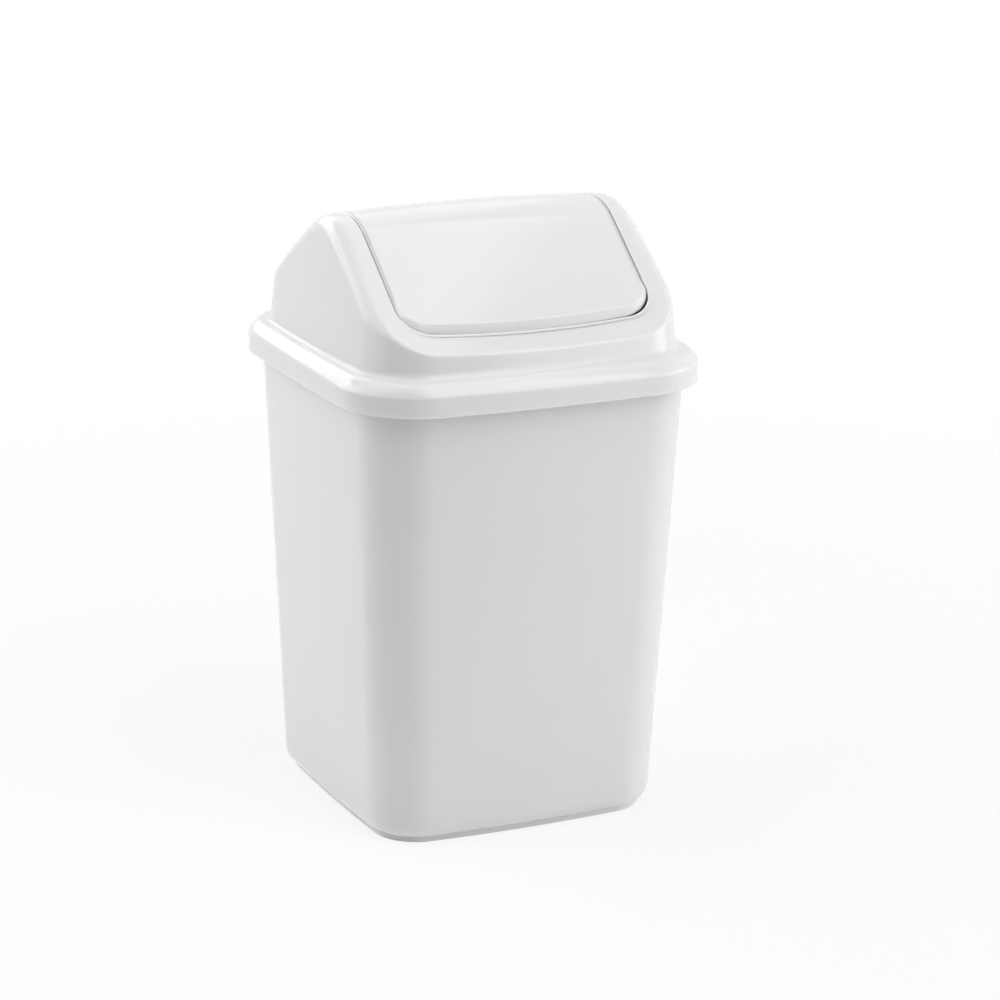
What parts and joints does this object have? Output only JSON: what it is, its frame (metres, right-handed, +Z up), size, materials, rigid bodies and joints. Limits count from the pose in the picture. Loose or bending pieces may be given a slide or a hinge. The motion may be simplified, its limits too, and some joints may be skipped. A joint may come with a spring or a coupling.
{
  "type": "swing lid trash can",
  "caption": "Small square tapered countertop bin with rounded corners, a lift-off gabled hood and a two-way swing flap.",
  "frame": {"origin": "centre of the foot ring's bottom plane, on the surface that the bin stands on", "axes": "+Z up; -Y towards the front slope of the hood; the ridge of the hood and the flap's pivot run along X"},
  "size_m": [0.16, 0.16, 0.2556],
  "materials": {
    "body": "glossy white injection-moulded plastic",
    "flap": "glossy white injection-moulded plastic"
  },
  "bodies": {
    "bin": {"bin": "body"},
    "hood": {"hood": "body"},
    "flap": {"flap": "flap"}
  },
  "joints": [
    {"name": "hood_lift", "type": "slide", "parent": "bin", "child": "hood", "axis": [0, 0, 1], "range_m": [0, 0.06]},
    {"name": "flap_swing", "type": "hinge", "parent": "hood", "child": "flap", "pos_m": [0, 0, 0.246], "axis": [1, 0, 0], "range_deg": [-70, 70]}
  ]
}
